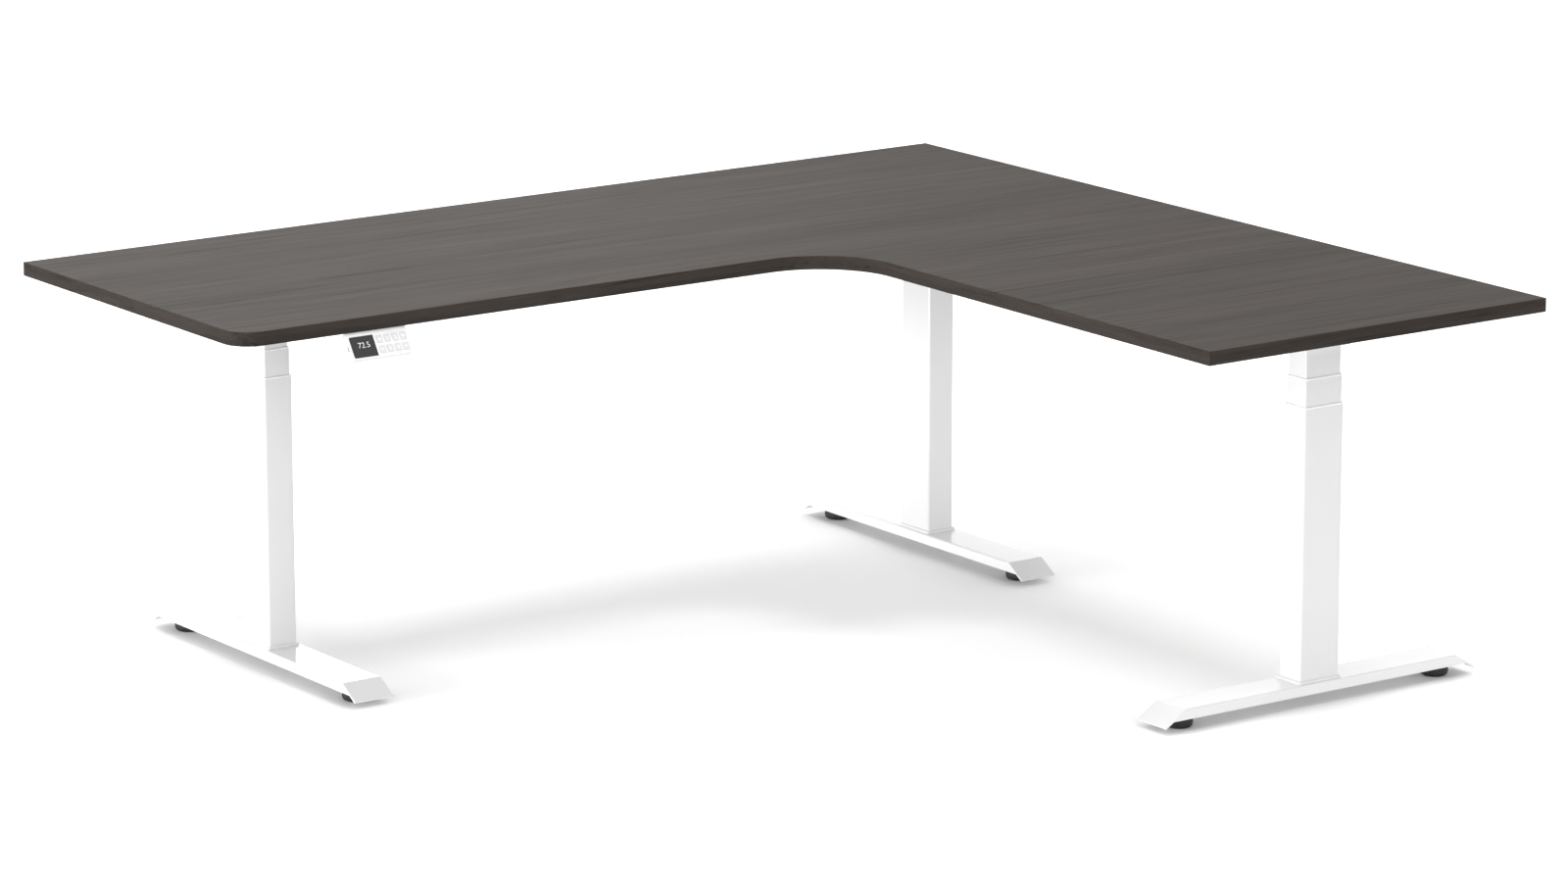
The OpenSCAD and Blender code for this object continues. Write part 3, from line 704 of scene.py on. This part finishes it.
def add_screws():
    """Pan head screws with a hexagon socket, one at each screw of the CAD."""
    shape = bmesh.new()
    for low, high in islands("frame_screws"):
        x, y = (low.x + high.x) / 2, (low.y + high.y) / 2
        r = (high.x - low.x) / 2
        top = low.z + 2.2 * MM
        sides = 24
        socket = []
        for k in range(sides):
            turn = 2 * math.pi * k / sides
            reach = 1.5 * MM * math.cos(math.pi / 6) / math.cos((turn % (math.pi / 3)) - math.pi / 6)
            socket.append((x + reach * math.cos(turn), y + reach * math.sin(turn)))
        profile = ((2 * MM, high.z - 0.2 * MM), (2 * MM, top), (r, top), (r, top - 0.5 * MM),
                   (r - 0.5 * MM, top - 1.3 * MM), (r - 1.3 * MM, low.z + 0.2 * MM),
                   (r - 1.9 * MM, low.z))
        loops = [circle(reach, z, sides, (x, y)) for reach, z in profile]
        loops += [[(px, py, z) for px, py in socket] for z in (low.z, low.z + 1.4 * MM)]
        loft(shape, loops)
    stand_for(finish_mesh("frame_screws_skin", shape, 40), "zinc", "frame_screws")


def add_motor(leg):
    """Black motor can with a flange, rolled grooves, an end bell and a lead grommet."""
    node = leg + "_motor"
    low, high = leg_box(leg, "motor")
    r = (high.z - low.z) / 2
    length = high.x - low.x
    can = length - 4 * MM
    profile = [(0.5 * MM, 0), (r - 0.4 * MM, 0), (r, 0.4 * MM), (r, 3.6 * MM), (r - 0.4 * MM, 4 * MM),
               (r - 1.2 * MM, 4.2 * MM), (r - 1.2 * MM, 7 * MM), (r - 0.6 * MM, 7.6 * MM)]
    for start in (0.24, 0.30, 0.72, 0.78):
        x = can * start
        profile += [(r - 0.6 * MM, x), (r - 1.3 * MM, x + 0.7 * MM), (r - 1.3 * MM, x + 1.5 * MM),
                    (r - 0.6 * MM, x + 2.2 * MM)]
    profile += [(r - 0.6 * MM, can - 9 * MM), (r, can - 8.4 * MM), (r, can - 2 * MM),
                (r - 0.6 * MM, can - 0.6 * MM), (r - 2 * MM, can), (r - 6 * MM, can),
                (r - 6 * MM, length - 0.8 * MM), (r - 6.8 * MM, length), (0.5 * MM, length)]
    shape = bmesh.new()
    lathe(shape, profile, 56)
    place = Matrix.Translation((low.x, 0, (low.z + high.z) / 2))
    shape.transform(leg_matrix(leg) @ place @ Matrix.Rotation(math.pi / 2, 4, "Y"))
    stand_for(finish_mesh(node + "_skin", shape, 32), "motor_can", node)


def add_leads():
    """The CAD's eight-sided leads as round, smoothly bent sheaths."""
    shape = bmesh.new()
    shape.from_mesh(frame["nodes"]["under_desk_leads"].data)
    bmesh.ops.remove_doubles(shape, verts=shape.verts, dist=SAME_PLACE)
    bmesh.ops.join_triangles(shape, faces=shape.faces, angle_face_threshold=math.radians(40),
                             angle_shape_threshold=math.radians(60))
    piece = stand_for(finish_mesh("under_desk_leads_skin", shape, 80), "lead", "under_desk_leads")
    piece.modifiers.new("round", "SUBSURF").levels = 2
    piece.modifiers["round"].render_levels = 2


def lead_ends():
    """The x of each lead where it goes into the control box, which is the far side of the leads."""
    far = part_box("under_desk_leads")[1][1] - 2 * MM
    verts = frame["nodes"]["under_desk_leads"].data.vertices
    places = sorted({round(v.co.x, 5) for v in verts if v.co.y > far})
    groups = [[places[0]]]
    for x in places[1:]:
        if x - groups[-1][-1] > 5 * MM:
            groups.append([])
        groups[-1].append(x)
    return [(group[0] + group[-1]) / 2 for group in groups]


def add_plugs():
    """A moulded plug where each lead goes into the control box."""
    low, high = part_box("control_box_base")
    turn = Matrix.Rotation(math.pi / 2, 4, "X")
    shape = bmesh.new()
    for x in lead_ends():
        place = Matrix.Translation((x, low[1] + 0.5 * MM, high[2] - 7 * MM)) @ turn
        loops = [rounded(14 * MM, 9 * MM, 2 * MM, z * MM, 4) for z in (0, 10)]
        loops += [rounded(11 * MM, 7 * MM, 2 * MM, z * MM, 4) for z in (10, 13)]
        loops += [rounded(8 * MM, 6.4 * MM, 2.6 * MM, 18 * MM, 4)]
        loft(shape, [[place @ Vector(p) for p in loop] for loop in loops])
    piece = add_piece("box_plugs", finish_mesh("box_plugs", shape), "black_housing", "top")
    soften(piece, 0.5 * MM)


def add_box_ribs():
    """Cooling ribs across the underside of the control box."""
    low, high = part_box("control_box_base")
    shape = bmesh.new()
    count = 11
    for k in range(count):
        x = low[0] + (high[0] - low[0]) * (k + 1) / (count + 1)
        y = (low[1] + high[1]) / 2
        loops = [rounded(w * MM, high[1] - low[1] - out * MM, 0.45 * w * MM, low[2] + z * MM, 3, (x, y))
                 for w, out, z in ((4.0, 22, 0.3), (4.0, 22, -0.6), (3.0, 23, -1.6), (1.8, 24.2, -2.0))]
        loft(shape, loops)
    add_piece("box_ribs", finish_mesh("box_ribs", shape), "black_housing", "top")


BEADS = 9
BEAD_PITCH = 3.4 * MM
BEAD_R = 1.9 * MM


def add_bracket_welds(leg):
    """Beads where each arm's ribs meet the head of the bracket."""
    foot = leg_box(leg, "bracket")[0].z + 4 * MM
    shape = bmesh.new()
    for side in (-1, 1):
        y = side * (HEAD_HALF + 0.2 * MM)
        for rib in (-1, 1):
            x = rib * RIB_X + rib * 1.2 * MM
            for step in range(BEADS):
                z = foot + step * BEAD_PITCH
                loops = [[(x + BEAD_R * math.cos(t) * k, y + BEAD_R * 0.8 * math.sin(t) * k, z + h * MM)
                          for t in (2 * math.pi * i / 10 for i in range(10))]
                         for k, h in ((0.35, -1.9), (0.85, -1.1), (1.0, 0), (0.85, 1.1), (0.35, 1.9))]
                loft(shape, loops)
    shape.transform(leg_matrix(leg))
    name = leg + "_bracket_welds"
    add_piece(name, finish_mesh(name, shape, 80), "white_coat", "top")


def add_gearbox(leg):
    """Two-part gearbox: the CAD block with a parting rib round it."""
    dress(leg + "_gearbox", "black_housing", 1.2 * MM, 3)
    low, high = leg_box(leg, "gearbox")
    w, d = high.x - low.x - 0.6 * MM, high.y - low.y - 0.6 * MM
    middle = low.z + 0.62 * (high.z - low.z)
    rib = bmesh.new()
    section = ((-0.6, 0.0), (-0.6, 1.0), (-0.25, 1.35), (0.25, 1.35), (0.6, 1.0), (0.6, 0.0))
    loops = [inset_loop(w, d, 6 * MM, -out * MM, middle + up * MM) for up, out in section]
    loft(rib, loops, closed=True)
    rib.transform(leg_matrix(leg))
    name = leg + "_gearbox_rib"
    add_piece(name, finish_mesh(name, rib), "black_housing", "top")


# ---------------------------------------------------------------- handset

TILT = math.radians(57)


def handset_matrix():
    """From the handset's own frame, x along the desk, y up the face and z out of it."""
    low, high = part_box("handset_housing")
    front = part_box("edge_band")[1][1] - WING
    return Matrix.Translation((low[0], front + 5 * MM, high[2])) @ Matrix.Rotation(TILT, 4, "X")


def put_in_order(parts, place):
    """Numbers mesh parts by their place. Extruding leaves them in a new order each run."""
    rank = {part: k for k, part in enumerate(sorted(parts, key=lambda part: tuple(place(part))))}
    parts.sort(key=lambda part: rank[part])


def text_mesh(name, text, height, thick, thin=0.0):
    """Digits as a solid, their lower left corner at the origin and their strokes made thinner."""
    data = bpy.data.curves.new(name, "FONT")
    data.body = text
    data.offset = -thin
    data.size = 1.0
    data.resolution_u = 6
    maker = bpy.data.objects.new(name + "_maker", data)
    bpy.context.scene.collection.objects.link(maker)
    bpy.context.view_layer.update()
    flat = bpy.data.meshes.new_from_object(maker)
    bpy.data.objects.remove(maker)
    shape = bmesh.new()
    shape.from_mesh(flat)
    bpy.data.meshes.remove(flat)
    bmesh.ops.remove_doubles(shape, verts=shape.verts, dist=1e-4)
    low = Vector(map(min, zip(*(v.co for v in shape.verts))))
    high = Vector(map(max, zip(*(v.co for v in shape.verts))))
    shape.transform(Matrix.Scale(height / (high.y - low.y), 4) @ Matrix.Translation(-low))
    raised = bmesh.ops.extrude_face_region(shape, geom=shape.faces[:])["geom"]
    for vert in (g for g in raised if isinstance(g, bmesh.types.BMVert)):
        vert.co.z += thick
    put_in_order(shape.verts, lambda vert: vert.co)
    put_in_order(shape.faces, lambda face: face.calc_center_median())
    return shape


DIGITS_PLACE = (16.2 * MM, -30.4 * MM, 0.3 * MM)


def add_display_digits():
    shape = text_mesh("display_digits", "72.5", 9.6 * MM, 0.08 * MM, 0.012)
    shape.transform(handset_matrix() @ Matrix.Translation(DIGITS_PLACE))
    add_piece("display_digits", finish_mesh("display_digits", shape), "print", "top")


KEY_FIRST = (61.0 * MM, -18.5 * MM)
KEY_PITCH = (15.8 * MM, 19.0 * MM)
KEY_TOP = 0.6 * MM
ARROW = ((-2.6, -1.6), (2.6, -1.6), (0.0, 2.6))
DOT_R = 2.1
BAR = ((-2.8, -0.5), (2.8, -0.5), (2.8, 0.5), (-2.8, 0.5))


def add_key_marks():
    """A generic mark on each key: two arrows, a dot, a bar and the numbers 1 to 4."""
    marks = {1: "up", 2: "1", 3: "2", 4: "dot", 5: "down", 6: "3", 7: "4", 8: "bar"}
    for key, mark in marks.items():
        col, row = (key - 1) % 4, (key - 1) // 4
        spot = (KEY_FIRST[0] + col * KEY_PITCH[0], KEY_FIRST[1] - row * KEY_PITCH[1], KEY_TOP)
        if mark in "1234":
            shape = text_mesh("mark", mark, 5.2 * MM, 0.06 * MM)
            wide = max(v.co.x for v in shape.verts)
            shape.transform(Matrix.Translation((-wide / 2, -2.6 * MM, 0)))
        else:
            shape = bmesh.new()
            flip = -1 if mark == "down" else 1
            corners = BAR if mark == "bar" else ARROW
            if mark == "dot":
                corners = [point[:2] for point in circle(DOT_R, 0, 24)]
            loft(shape, [[(x * MM, flip * y * MM, z) for x, y in corners] for z in (0, 0.06 * MM)])
        shape.transform(handset_matrix() @ Matrix.Translation(spot))
        name = "key_mark_%d" % key
        add_piece(name, finish_mesh(name, shape), "print", "key_%d" % key)


# ---------------------------------------------------------------- the scene

bpy.context.scene.view_settings.view_transform = "Standard"
add_camera()
add_world(1.68, 0.5)
add_floor()
add_area("left", (-7.5, 1.2, 1.1), (0, 0.3, 0.35), (4.6, 1.6), 340)
add_area("back", (2.4, 8.2, 2.5), (0, 0, 0.4), (6.0, 1.6), 90)
add_spot("corner", (-5.0, -3.4, 0.55), (0.71, 0.48, 0.33), 6.4, 460)
for k, (x, y) in enumerate(((-1, 0), (1, 0), (0, -1), (0, 1))):
    add_area("over%d" % k, (2.4 * x + 0.6, 2.4 * y + 0.5, 5.6), (0.6, 0.5, 0), (1.2, 1.2), 56)

add_desktop()
add_collars()
add_screws()
for leg in LEGS:
    add_tube(leg, "outer_tube", TUBE_R)
    add_tube(leg, "middle_tube", TUBE_R - STAGE_R_STEP)
    add_tube(leg, "inner_tube", TUBE_R - 2 * STAGE_R_STEP)
    # The feet's lighter copy of the white coat is painted light on their tops
    dress(leg + "_foot", "foot_coat_painted_light", 0.7 * MM)
    dress(leg + "_bracket", "white_coat", 0.6 * MM)
    add_bracket_welds(leg)
    add_gearbox(leg)
    add_motor(leg)
    dress(leg + "_upper_screw", "steel", 0.3 * MM)
    dress(leg + "_lower_screw", "steel", 0.3 * MM)
    for end in ENDS:
        add_glide(leg + "_glide_" + end)
for node in ("main_rails", "return_rails"):
    dress(node, "white_coat", 0.8 * MM)
dress("base_nuts", "steel", 0.4 * MM)
dress("foot_bolts", "zinc", 0.4 * MM)
for node in ("control_box_base", "control_box_lid", "power_inlet"):
    dress(node, "black_housing", 0.6 * MM)
add_leads()
add_plugs()
add_box_ribs()
dress("lead_clips", "lead", 0.3 * MM, 1, 60)
dress("handset_housing", "handset", 0.5 * MM)
dress("handset_lens", "lens", 0.25 * MM)
dress("charge_port", "black_housing", 0.1 * MM)
for key in range(1, 9):
    dress("key_%d" % key, "keys", 0.4 * MM)
add_display_digits()
add_key_marks()
